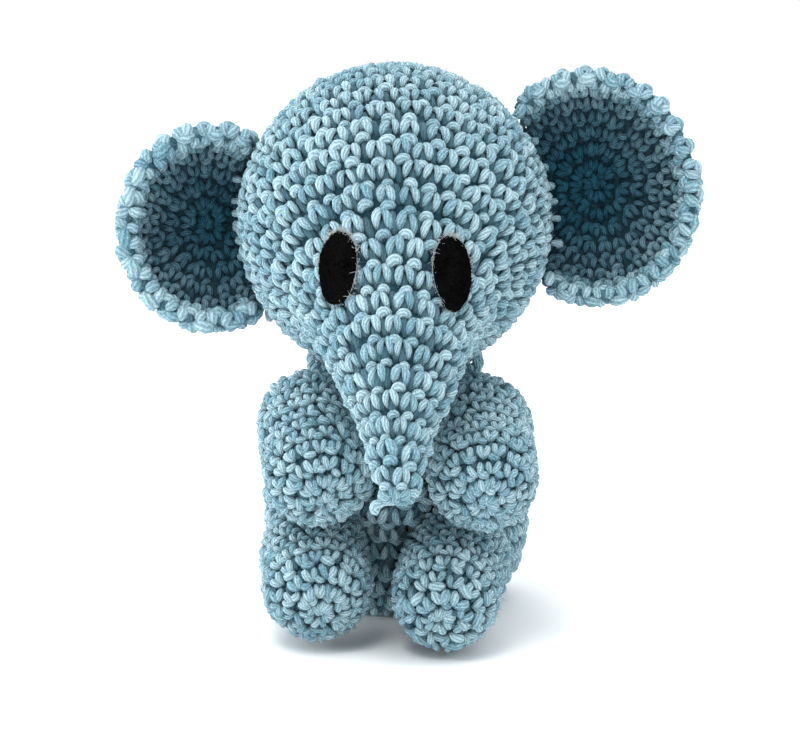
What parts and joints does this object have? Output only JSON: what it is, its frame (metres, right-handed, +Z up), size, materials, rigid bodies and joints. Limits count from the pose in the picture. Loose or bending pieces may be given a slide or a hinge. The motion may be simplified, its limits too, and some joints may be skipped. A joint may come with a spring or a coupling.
{
  "type": "stuffed crochet elephant toy",
  "caption": "Sitting crocheted elephant: round head with a tapering trunk, cupped ears, oval felt eyes, pear-shaped body, stubby arms and legs.",
  "frame": {"origin": "middle of the body's flat base, on the surface the toy sits on", "axes": "+Z up, -Y the way the face looks, +X the toy's left"},
  "size_m": [0.1469, 0.1141, 0.1418],
  "materials": {
    "yarn_blue": "matte light blue-grey cotton yarn, single crochet",
    "sewing_yarn": "matte light blue-grey cotton yarn, sewn",
    "stuffing": "white polyester fibre fill",
    "felt_black": "matte black felt",
    "glue_white": "dried pale craft glue with lint"
  },
  "bodies": {
    "body": {"body_cover": "yarn_blue", "body_stuffing": "stuffing"},
    "neck": {"neck_seam": "sewing_yarn"},
    "head": {"head_cover": "yarn_blue", "head_stuffing": "stuffing", "head_closing_yarn": "sewing_yarn", "trunk_fastening_off": "yarn_blue", "left_eye": "felt_black", "left_eye_glue": "glue_white", "right_eye": "felt_black", "right_eye_glue": "glue_white", "left_ear_seam": "sewing_yarn", "right_ear_seam": "sewing_yarn"},
    "left_ear": {"left_ear": "yarn_blue"},
    "right_ear": {"right_ear": "yarn_blue"},
    "left_arm": {"left_arm_cover": "yarn_blue", "left_arm_stuffing": "stuffing", "left_shoulder_seam": "sewing_yarn"},
    "right_arm": {"right_arm_cover": "yarn_blue", "right_arm_stuffing": "stuffing", "right_shoulder_seam": "sewing_yarn"},
    "left_leg": {"left_leg_cover": "yarn_blue", "left_leg_stuffing": "stuffing", "left_hip_seam": "sewing_yarn"},
    "right_leg": {"right_leg_cover": "yarn_blue", "right_leg_stuffing": "stuffing", "right_hip_seam": "sewing_yarn"}
  },
  "joints": [
    {"name": "neck_turn", "type": "hinge", "parent": "body", "child": "neck", "pos_m": [-0.0005, -0.012, 0.1008], "axis": [0, -0.2079, 0.9781], "range_deg": [-6, 6], "stiffness_Nm_per_rad": 0.08},
    {"name": "neck_nod", "type": "hinge", "parent": "neck", "child": "head", "pos_m": [-0.0005, -0.012, 0.1008], "axis": [-1, 0, 0], "range_deg": [0, 18], "stiffness_Nm_per_rad": 0.08},
    {"name": "left_ear_fold", "type": "hinge", "parent": "head", "child": "left_ear", "pos_m": [0.04168, -0.012, 0.10806], "axis": [0.1695, 0, -0.9855], "range_deg": [0, 15], "stiffness_Nm_per_rad": 0.01},
    {"name": "right_ear_fold", "type": "hinge", "parent": "head", "child": "right_ear", "pos_m": [-0.04327, -0.012, 0.09914], "axis": [-0.0387, 0, 0.9993], "range_deg": [0, 15], "stiffness_Nm_per_rad": 0.01},
    {"name": "left_shoulder_spread", "type": "hinge", "parent": "body", "child": "left_arm", "pos_m": [0.0203, -0.0292, 0.0506], "axis": [0, 0, 1], "range_deg": [0, 25], "stiffness_Nm_per_rad": 0.02},
    {"name": "right_shoulder_spread", "type": "hinge", "parent": "body", "child": "right_arm", "pos_m": [-0.0213, -0.0292, 0.0512], "axis": [0, 0, -1], "range_deg": [0, 25], "stiffness_Nm_per_rad": 0.02},
    {"name": "left_hip_spread", "type": "hinge", "parent": "body", "child": "left_leg", "pos_m": [0.0148, -0.0335, 0.0182], "axis": [0, 0, 1], "range_deg": [0, 25], "stiffness_Nm_per_rad": 0.02},
    {"name": "right_hip_spread", "type": "hinge", "parent": "body", "child": "right_leg", "pos_m": [-0.0206, -0.033, 0.0187], "axis": [0, 0, -1], "range_deg": [0, 25], "stiffness_Nm_per_rad": 0.02}
  ]
}
